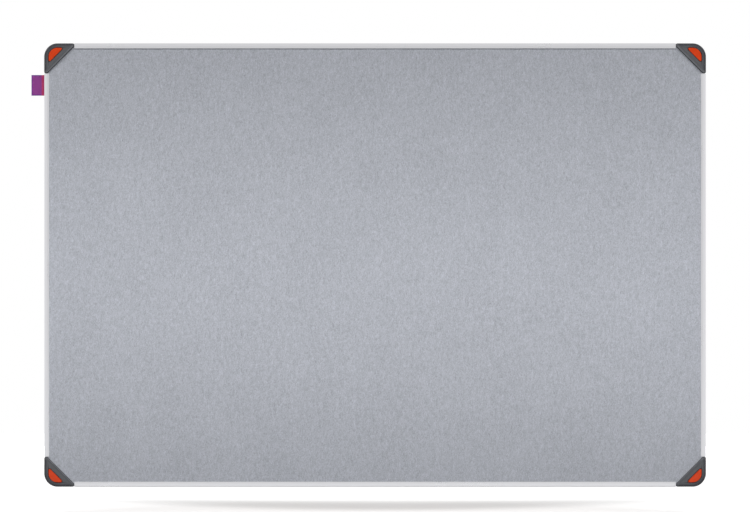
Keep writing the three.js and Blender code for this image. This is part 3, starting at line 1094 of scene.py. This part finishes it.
def felt_material():
    """Pressed fibres: crossing streaks, mostly upright, over soft mottling."""
    felt = Recipe("felt", FELT_COLOUR, FELT_SURFACE)
    sway = felt.noise(FELT_SWAY)
    dashes = []
    for streak in FELT_STREAKS:
        inputs = {0: sway, 1: (FELT_SWAY_SHARE, 0, 0), 2: felt.stretched(streak)}
        bent = felt.add("ShaderNodeVectorMath", {"operation": "MULTIPLY_ADD"}, inputs)
        dashes.append(felt.dashes(bent.outputs[0]))
    fine = felt.noise(FELT_FINE)
    mottle = felt.around(felt.noise(FELT_MOTTLE), FELT_MOTTLE_SHARE)
    clumps = felt.around(felt.noise(FELT_CLUMPS), FELT_CLUMP_SHARE)
    streaks = [felt.times(dash, share) for dash, share in zip(dashes, FELT_STREAK_SHARES)]
    tone = felt.added(mottle, clumps, *streaks, felt.around(fine, FELT_FINE_SHARE), 1)
    felt.shaded(FELT_COLOUR, tone)
    relief = felt.added(felt.times(felt.added(*dashes), FELT_RELIEF_SHARE), fine)
    felt.bumpy(relief, FELT_RELIEF, FELT_RELIEF_STRENGTH)
    return felt.material


def fibre_material():
    fibre = Recipe("felt_fibres", FELT_LIGHT_COLOUR, FIBRE_SURFACE)
    tint = fibre.mixed(fibre.noise(FIBRE_TONE), FELT_COLOUR, FELT_LIGHT_COLOUR)
    fibre.vary("Base Color", tint)
    return fibre.material


# Satin anodised aluminium, drawn upright
METAL_COLOUR = srgb(225, 225, 228)
METAL_SURFACE = {"Metallic": 1, "Roughness": 0.3}
METAL_LINES = Grain(0.16, 0.16, 260, 3, 0.6)
METAL_BANDS = Grain(1.6, 1.6, 400)
METAL_GRAIN = Grain(0.12, 0.12, 0.12, 2, 0.7)
METAL_TOUCH = Grain(45, 45, 45, 3, 0.6)
METAL_LINE_SHARE = 0.05
METAL_BAND_SHARE = 0.02
METAL_ROUGHNESS = (0.27, 0.33)
METAL_LINE_ROUGHNESS = 0.04
METAL_GRAIN_SHARE = 0.4
METAL_RELIEF = 0.012


def aluminium_material(name, across):
    """Fine die lines along the rail, which lies across the board or stands upright."""
    metal = Recipe(name, METAL_COLOUR, METAL_SURFACE)
    drawn = [METAL_LINES, METAL_BANDS]
    if across:
        drawn = [grain._replace(width=grain.length, length=grain.width) for grain in drawn]
    lines, bands = (metal.noise(grain) for grain in drawn)
    tone = metal.added(1, metal.around(lines, METAL_LINE_SHARE), metal.around(bands, METAL_BAND_SHARE))
    metal.shaded(METAL_COLOUR, tone)
    touch = metal.ranged(metal.noise(METAL_TOUCH), *METAL_ROUGHNESS)
    metal.vary("Roughness", metal.added(touch, metal.around(lines, METAL_LINE_ROUGHNESS)))
    grain = metal.times(metal.noise(METAL_GRAIN), METAL_GRAIN_SHARE)
    metal.bumpy(metal.added(lines, grain), METAL_RELIEF)
    return metal.material


# Moulded plastics: each one's painted depth tones are pairs of a depth behind its front and a colour. The
# lighter tone above the front is a painted highlight on the bead's crest, and the darker tones further back
# are painted shade.
Plastic = namedtuple("Plastic", "name roughness gloss relief dust_share front tones")
MOULDING_COLOUR = srgb(96, 97, 100)
# Painted highlight: the raised bead's crest is coloured lighter than the plate
BEAD_PAINTED_HIGHLIGHT_COLOUR = srgb(106, 107, 111)
# Painted shade: the plate's rounded border, its groove and all behind them darken with depth behind the front
BORDER_PAINTED_SHADE_COLOUR = srgb(72, 72, 76)
RIM_PAINTED_SHADE_COLOUR = srgb(34, 26, 25)
COVER_COLOUR = srgb(219, 63, 4)
# Painted shade: the cover's rounded edge darkens into the gap round it
COVER_EDGE_PAINTED_SHADE_COLOUR = srgb(62, 22, 12)
MOULDING_PAINTED_DEPTH_TONES = (
    (-0.3, BEAD_PAINTED_HIGHLIGHT_COLOUR),
    (0, MOULDING_COLOUR),
    (0.1, MOULDING_COLOUR),
    (0.34, BORDER_PAINTED_SHADE_COLOUR),
)
COVER_PAINTED_DEPTH_TONES = ((0.17, COVER_COLOUR), (0.25, COVER_EDGE_PAINTED_SHADE_COLOUR))
MOULDING_PLASTIC = Plastic("corner_plastic", 0.46, 0.15, 0.03, 0.2, MOULDING_FRONT, MOULDING_PAINTED_DEPTH_TONES)
COVER_PLASTIC = Plastic("cover_plastic", 0.36, 0.25, 0.012, 0.08, COVER_FRONT, COVER_PAINTED_DEPTH_TONES)
PLASTIC_GRAIN = Grain(0.3, 0.3, 0.3, 3, 0.6)
PLASTIC_CLOUDS = Grain(9, 9, 9, 3, 0.6)
PLASTIC_SPECKS = Grain(0.9, 0.9, 0.9)
PLASTIC_SCUFFS = Grain(0.25, 3, 5, turn=0.9)
PLASTIC_CLOUD_SHARES = (0.94, 1.06)
PLASTIC_GRAIN_SHARE = 0.06
SPECK_RANGE = (0.62, 0.75)
SCUFF_RANGE = (0.62, 0.7)
SCUFF_ROUGHNESS = 0.08
PLASTIC_POLISH = 0.04
PLASTIC_DULLING = 0.05


def plastic_material(kind):
    """A spark-eroded grain, faint scuffs and a little dust, painted highlight and painted shade by depth, and
    painted shade as a dark rim where one is marked.
    """
    tint = kind.tones[0][1]
    plastic = Recipe(kind.name, tint, {"Roughness": kind.roughness, "Specular IOR Level": kind.gloss})
    grain = plastic.noise(PLASTIC_GRAIN)
    clouds = plastic.noise(PLASTIC_CLOUDS)
    dust = plastic.scaled(plastic.noise(PLASTIC_SPECKS), *SPECK_RANGE, 0, kind.dust_share)
    depth = plastic.math("MULTIPLY_ADD", plastic.axis("Y"), METRE, kind.front)
    # Colours by depth: a painted highlight on the bead's crest, and painted shade on what lies further back
    for (near, _), (far, darker) in zip(kind.tones, kind.tones[1:]):
        tint = plastic.mixed(plastic.scaled(depth, near, far, 0, 1), tint, darker)
    # The marked rim round the well's mouth is painted dark as shade
    rim = plastic.add("ShaderNodeAttribute", {"attribute_name": PAINTED_RIM_SHADE_MARK}).outputs["Fac"]
    clouding = plastic.ranged(clouds, *PLASTIC_CLOUD_SHARES)
    shade = plastic.added(clouding, plastic.around(grain, PLASTIC_GRAIN_SHARE), dust)
    plastic.shaded(plastic.mixed(rim, tint, RIM_PAINTED_SHADE_COLOUR), shade)
    worn = plastic.scaled(plastic.noise(PLASTIC_SCUFFS), *SCUFF_RANGE, 0, SCUFF_ROUGHNESS)
    dull = plastic.ranged(clouds, kind.roughness - PLASTIC_POLISH, kind.roughness + PLASTIC_DULLING)
    plastic.vary("Roughness", plastic.added(dull, worn))
    plastic.bumpy(grain, kind.relief)
    return plastic.material


# Woven satin ribbon
RIBBON_COLOUR = srgb(148, 63, 146)
SELVEDGE_COLOUR = srgb(110, 48, 140)
STRIPE_COLOUR = srgb(190, 56, 108)
RIBBON_SURFACE = {"Roughness": 0.6, "Sheen Weight": 0.3, "Sheen Roughness": 0.4}
RIBBON_YARN = Grain(0.25, 0.25, 2.5, 3, 0.6)
RIBBON_WEAVE_LENGTH = 0.84
RIBBON_YARN_SHARE = 0.15
RIBBON_WEAVE_SHARE = 0.1
RIBBON_SOFT_EDGE = 0.3
RIBBON_RELIEF = 0.06


def ribbon_material():
    """A plain ground with darker selvedges, and a stripe beside the rail."""
    ribbon = Recipe("label_ribbon", RIBBON_COLOUR, RIBBON_SURFACE)
    weave = ribbon.checks(RIBBON_WEAVE_LENGTH)
    yarn = ribbon.noise(RIBBON_YARN)
    x = ribbon.axis("X")
    middle = (TAB_TOP + TAB_BOTTOM) / 2
    aside = ribbon.math("ABSOLUTE", ribbon.math("SUBTRACT", ribbon.axis("Z"), middle * MILLIMETRE))
    stripe = ribbon.past(x, RAIL_OUTER - HALF_WIDTH - STRIPE_WIDTH, RIBBON_SOFT_EDGE)
    side = ribbon.past(aside, (TAB_TOP - TAB_BOTTOM) / 2 - SELVEDGE_WIDTH, RIBBON_SOFT_EDGE)
    outer = ribbon.past(ribbon.times(x, -1), -TAB_FOLD - SELVEDGE_WIDTH, RIBBON_SOFT_EDGE)
    ground = ribbon.mixed(ribbon.math("MAXIMUM", side, outer), RIBBON_COLOUR, SELVEDGE_COLOUR)
    threads = ribbon.around(yarn, RIBBON_YARN_SHARE)
    tone = ribbon.added(1, threads, ribbon.times(weave, RIBBON_WEAVE_SHARE))
    ribbon.shaded(ribbon.mixed(stripe, ground, STRIPE_COLOUR), tone)
    ribbon.bumpy(ribbon.added(weave, yarn), RIBBON_RELIEF)
    return ribbon.material


# Boards of pressed wood fibre
HARDBOARD_COLOUR = srgb(122, 86, 58)
HARDBOARD_SURFACE = {"Roughness": 0.62}
HARDBOARD_CLOUDS = Grain(90, 90, 90, 3, 0.6)
HARDBOARD_FLECKS = Grain(1.2, 1.2, 2.2, 4, 0.7, turn=0.6)
HARDBOARD_SHIVES = (Grain(0.8, 1, 5, turn=0.8), Grain(0.8, 1, 5, turn=-0.7, shift=1.3))
HARDBOARD_CLOUD_SHARES = (0.9, 1.1)
HARDBOARD_FLECK_SHARE = 0.14
HARDBOARD_SHIVE_SHARE = 0.35
HARDBOARD_SCREEN_LENGTH = 1.1
HARDBOARD_SCREEN_SHARE = 0.2
HARDBOARD_ROUGHNESS = (0.55, 0.72)
HARDBOARD_RELIEF = 0.12
SOFTBOARD_COLOUR = srgb(178, 152, 112)
SOFTBOARD_SURFACE = {"Roughness": 0.9}
SOFTBOARD_FIBRES = Grain(0.8, 0.5, 3, 4, 0.7, turn=0.5)
SOFTBOARD_FIBRE_SHARES = (0.8, 1.15)
SOFTBOARD_RELIEF = 0.3


def hardboard_material():
    """Dark flecks, pale shives and a faint screen pattern."""
    board = Recipe("hardboard", HARDBOARD_COLOUR, HARDBOARD_SURFACE)
    flecks = board.noise(HARDBOARD_FLECKS)
    clouding = board.ranged(board.noise(HARDBOARD_CLOUDS), *HARDBOARD_CLOUD_SHARES)
    flecking = board.ranged(flecks, -HARDBOARD_FLECK_SHARE, HARDBOARD_FLECK_SHARE)
    shives = board.added(*(board.dashes(board.stretched(shive)) for shive in HARDBOARD_SHIVES))
    shade = board.added(clouding, flecking, board.times(shives, HARDBOARD_SHIVE_SHARE))
    board.shaded(HARDBOARD_COLOUR, shade)
    board.vary("Roughness", board.ranged(flecks, *HARDBOARD_ROUGHNESS))
    screen = board.times(board.checks(HARDBOARD_SCREEN_LENGTH), HARDBOARD_SCREEN_SHARE)
    board.bumpy(board.added(flecks, screen), HARDBOARD_RELIEF)
    return board.material


def softboard_material():
    board = Recipe("softboard", SOFTBOARD_COLOUR, SOFTBOARD_SURFACE)
    fibres = board.noise(SOFTBOARD_FIBRES)
    board.shaded(SOFTBOARD_COLOUR, board.ranged(fibres, *SOFTBOARD_FIBRE_SHARES))
    board.bumpy(fibres, SOFTBOARD_RELIEF)
    return board.material


# Zinc-plated steel
STEEL_COLOUR = srgb(196, 198, 200)
STEEL_BLUE_COLOUR = srgb(186, 190, 198)
STEEL_YELLOW_COLOUR = srgb(204, 202, 192)
STEEL_SURFACE = {"Metallic": 1, "Roughness": 0.3}
STEEL_BLOOM = Grain(1.5, 1.5, 1.5, 3, 0.6)
STEEL_GRAIN = Grain(0.1, 0.1, 0.1)
STEEL_ROUGHNESS = (0.24, 0.42)
STEEL_RELIEF = 0.01


def steel_material():
    """A little blue and a little yellow by turns, with a matte bloom."""
    steel = Recipe("zinc_steel", STEEL_COLOUR, STEEL_SURFACE)
    bloom = steel.noise(STEEL_BLOOM)
    steel.vary("Base Color", steel.mixed(bloom, STEEL_BLUE_COLOUR, STEEL_YELLOW_COLOUR))
    steel.vary("Roughness", steel.ranged(bloom, *STEEL_ROUGHNESS))
    steel.bumpy(steel.noise(STEEL_GRAIN), STEEL_RELIEF)
    return steel.material


# The camera: square on to the board, level with its middle. The board's sides in the picture
# are in pixels.
PICTURE_SIZE = (750, 531)
SIDES_ACROSS = (44.3, 705.84)
SIDES_DOWN = (43.25, 486.81)
LENS = 300
SENSOR = 36
CLIP_START = 0.1
CLIP_END = 100


def make_camera():
    data = bpy.data.cameras.new("camera")
    data.lens = LENS
    data.sensor_width = SENSOR
    data.clip_start = CLIP_START
    data.clip_end = CLIP_END
    camera = placed("camera", data)
    wide, high = PICTURE_SIZE
    pixels = SIDES_ACROSS[1] - SIDES_ACROSS[0] + SIDES_DOWN[1] - SIDES_DOWN[0]
    per_pixel = (HALF_WIDTH + HALF_HEIGHT) * 2 / pixels
    distance = wide * per_pixel * LENS / SENSOR
    right = (wide - sum(SIDES_ACROSS)) / 2 * per_pixel
    up = (sum(SIDES_DOWN) - high) / 2 * per_pixel
    camera.location = Vector((right, -PLATE_SIDE - distance, up)) * MILLIMETRE
    camera.rotation_euler = (QUARTER_TURN, 0, 0)
    bpy.context.scene.camera = camera


# The floor lies under the board, its drop in millimetres and its other sizes in metres. Each rise
# is a range of places and the brightness at either end of it.
FLOOR_DROP = 36
FLOOR_REACH = 4
FLOOR_SURFACE = {"Roughness": 0.9}
FLOOR_COLOUR = (0.4, 0.4, 0.4)
FLOOR_SEEN_COLOUR = (0.95, 0.95, 0.95)
FLOOR_GLOSS = 0.95
# Painted contact shadow: gloss and bounced light see the floor dark in a strip along the board's line
PAINTED_CONTACT_SHADOW_RISE = (0.015, 0.06, 0, 1)
# Painted shadow: an arch of lower glow behind the board's lower side, over its real shadow
PAINTED_SHADOW_CENTRE = (0.014, 0.235)
PAINTED_SHADOW_REACH = (0.6, 0.24)
PAINTED_SHADOW_BEND_SHARE = 2.4
PAINTED_SHADOW_RISE = (0.2, 1, 0.445, 0.71)
OPEN_RISE = (2.4, 3.6, 0.45, 1)
OPEN_START = (0.55, 0.9, 0, 1)
BESIDE_RISE = (0.9, 1.6, 0.4, 1)


def floor_glow(floor, height):
    """The brightness that whitens the floor, less in an arch behind the board's lower side: a painted shadow
    laid over the board's real one.
    """
    inputs = {"Vector": floor.place, "Location": (*PAINTED_SHADOW_CENTRE, height), "Scale": (*PAINTED_SHADOW_REACH, 1)}
    painted_shadow_place = floor.add("ShaderNodeMapping", {"vector_type": "TEXTURE"}, inputs)
    axes = floor.add("ShaderNodeSeparateXYZ", (), {0: painted_shadow_place.outputs[0]}).outputs
    across = floor.times(axes["X"], axes["X"])
    bent = floor.math("MULTIPLY_ADD", across, -PAINTED_SHADOW_BEND_SHARE, axes["Y"])
    far = floor.math("SQRT", floor.math("MULTIPLY_ADD", bent, bent, across))
    # The glow is least in the painted shadow's arch
    near = floor.eased(far, *PAINTED_SHADOW_RISE)
    behind = floor.eased(floor.axis("Y"), *OPEN_START)
    difference = floor.math("SUBTRACT", floor.eased(floor.axis("Y"), *OPEN_RISE), near)
    beside = floor.eased(floor.math("ABSOLUTE", floor.axis("X")), *BESIDE_RISE)
    return floor.math("MAXIMUM", floor.math("MULTIPLY_ADD", difference, behind, near), beside)


def floor_material(height):
    """Pale, white to the eye where nothing shades it but the painted shadow's arch, and clear from below.
    Gloss and bounced light see a painted contact shadow along the board's line.
    """
    floor = Recipe("floor", FLOOR_COLOUR, FLOOR_SURFACE)
    camera, glossy = floor.rays()
    # A strip along the board's line is painted black for gloss and bounced light: a painted contact shadow
    clear_of_painted_shadow = floor.eased(floor.math("ABSOLUTE", floor.axis("Y")), *PAINTED_CONTACT_SHADOW_RISE)
    shade = floor.mixed(camera, floor.mixed(clear_of_painted_shadow, (0, 0, 0), FLOOR_COLOUR), FLOOR_SEEN_COLOUR)
    diffuse = floor.add("ShaderNodeBsdfDiffuse", (), {"Color": shade}).outputs[0]
    seen = floor.math("MAXIMUM", floor.times(glossy, floor.times(clear_of_painted_shadow, FLOOR_GLOSS)), camera)
    inputs = {"Color": (1, 1, 1, 1), "Strength": floor.times(floor_glow(floor, height), seen)}
    emission = floor.add("ShaderNodeEmission", (), inputs).outputs[0]
    both = floor.add("ShaderNodeAddShader", (), {0: diffuse, 1: emission}).outputs[0]
    clear = floor.add("ShaderNodeBsdfTransparent").outputs[0]
    under = floor.add("ShaderNodeNewGeometry").outputs["Backfacing"]
    shown = floor.add("ShaderNodeMixShader", (), {0: under, 1: both, 2: clear}).outputs[0]
    floor.feed(floor.tree.nodes["Material Output"].inputs["Surface"], shown)
    floor.tree.nodes.remove(floor.surface)
    return floor.material


def make_floor():
    height = -(HALF_HEIGHT + FLOOR_DROP) * MILLIMETRE
    corners = rectangle(-FLOOR_REACH, -FLOOR_REACH, FLOOR_REACH, FLOOR_REACH)
    mesh = mesh_of([(c.x, c.y, height) for c in corners], [tuple(range(len(corners)))])
    mesh.materials.append(floor_material(height))
    placed("floor", mesh)


# The world's light, and the backdrop that the eye and gloss see. Gloss sees it dimmer straight in
# front of the board, and towards the top and the bottom.
AMBIENT = 0.15
DIM_FRONT = 0.62
DIM_REACH = (0.95, 0.998)
DIM_ASIDE_SHARE = 0.3
STEEP_REACH = (0.25, 0.85)
DIM_STEEP = 0.72


def make_world():
    """Soft even light from all round, in front of a white backdrop."""
    world = bpy.data.worlds.new("studio")
    bpy.context.scene.world = world
    sky = Nodes(world, "Generated")
    camera, glossy = sky.rays()
    x = sky.axis("X")
    frontal = sky.math("MULTIPLY_ADD", sky.times(x, x), -DIM_ASIDE_SHARE, sky.times(sky.axis("Y"), -1))
    facing = sky.scaled(frontal, *DIM_REACH, 1, DIM_FRONT)
    steepness = sky.scaled(sky.math("ABSOLUTE", sky.axis("Z")), *STEEP_REACH, 1, DIM_STEEP)
    mirrored_light = sky.times(facing, steepness)
    backdrop = sky.add("ShaderNodeMix", (), {0: camera, 2: mirrored_light, 3: 1}).outputs[0]
    seen = sky.math("MAXIMUM", camera, glossy)
    strength = sky.add("ShaderNodeMix", (), {0: seen, 2: AMBIENT, 3: backdrop}).outputs[0]
    background = sky.tree.nodes["Background"]
    background.inputs["Color"].default_value = (1, 1, 1, 1)
    sky.feed(background.inputs["Strength"], strength)


# Lamps: a long one high in front, one behind the board, and a faint low panel before it
KEY_DISTANCE = 4
KEY_ELEVATION = radians(54)
KEY_SIZE = (5, 0.8)
KEY_POWER = 134
BEHIND_PLACE = (0, 3, 0.5)
BEHIND_SIZE = (3, 1.6)
BEHIND_POWER = 32
PANEL_PLACE = (0, -0.8, -0.045)
PANEL_AIM = (0, 0, -0.045)
PANEL_SIZE = (1.8, 0.5)
PANEL_SPREAD = radians(50)
PANEL_POWER = 1.17


def area_light(name, place, aim, size, power, spread=pi):
    """A soft lamp. The world, and not the lamps, is what shows in shiny surfaces."""
    data = bpy.data.lights.new(name, "AREA")
    data.shape = "RECTANGLE"
    data.size, data.size_y = size
    data.energy = power
    data.spread = spread
    light = placed(name, data)
    light.location = place
    light.rotation_euler = (Vector(aim) - Vector(place)).to_track_quat("-Z", "Y").to_euler()
    light.visible_camera = False
    light.visible_glossy = False


def make_lights():
    key_height = KEY_DISTANCE * sin(KEY_ELEVATION)
    key_front = KEY_DISTANCE * cos(KEY_ELEVATION)
    area_light("softbox_above", (0, -key_front, key_height), (0, 0, 0), KEY_SIZE, KEY_POWER)
    area_light("softbox_behind", BEHIND_PLACE, (0, 0, 0), BEHIND_SIZE, BEHIND_POWER)
    area_light("front_panel", PANEL_PLACE, PANEL_AIM, PANEL_SIZE, PANEL_POWER, PANEL_SPREAD)


# The board


def make_corners():
    plastic = plastic_material(MOULDING_PLASTIC)
    orange = plastic_material(COVER_PLASTIC)
    steel = steel_material()
    moulding, cover, screw = moulding_mesh(), cover_mesh(), screw_mesh()
    for turns, (name, x, y) in enumerate(CORNER_PLACES):
        place = (x, y, turns)
        node = "corner_moulding_" + name
        crisp(fine_piece(node, moulding.copy(), place, plastic, "board", "corner_plastic"))
        node = "corner_cover_" + name
        crisp(fine_piece(node, cover.copy(), place, orange, "cover_" + name, "cover_plastic"))
        for letter, screw_x, screw_y in SCREW_PLACES:
            node = f"corner_screw_{name}_{letter}"
            mesh = moved(screw.copy(), on_plan(screw_x, screw_y))
            fine_piece(node, mesh, place, steel, "board", "screw_steel")


def make_rails():
    """The four rails: those at the bottom and the top lie across, the others stand upright."""
    across = aluminium_material("anodised_aluminium_across", True)
    standing = aluminium_material("anodised_aluminium_upright", False)
    for turns, (name, x, y, side) in enumerate(RAIL_PLACES):
        material = standing if turns % 2 else across
        place = (x, y, turns)
        rail = fine_piece("frame_rail_" + name, rail_mesh(side), place, material, "board", "frame_aluminium")
        crisp(rail)


def make_panel():
    """The felt, and the two boards behind it, whose own solids only get their materials."""
    mesh = upright(felt_mesh())
    felt = piece("felt_cloth", mesh, felt_material(), "board", "felt", "felt_sheet")
    fibres = piece("felt_fibres", upright(fibre_mesh()), fibre_material(), "board", "felt")
    boards = {"softboard_core": softboard_material(), "back_sheet": hardboard_material()}
    for node, material in boards.items():
        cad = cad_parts[node]
        cad.data.materials.clear()
        cad.data.materials.append(material)


def make_label():
    mesh = upright(ribbon_mesh())
    tab = piece("side_label_ribbon", mesh, ribbon_material(), "board", "label_ribbon", "side_label_tab")
    path = ribbon_path()


make_camera()
make_corners()
make_rails()
make_panel()
make_label()
make_floor()
make_world()
make_lights()
bpy.context.scene.view_settings.view_transform = "Standard"
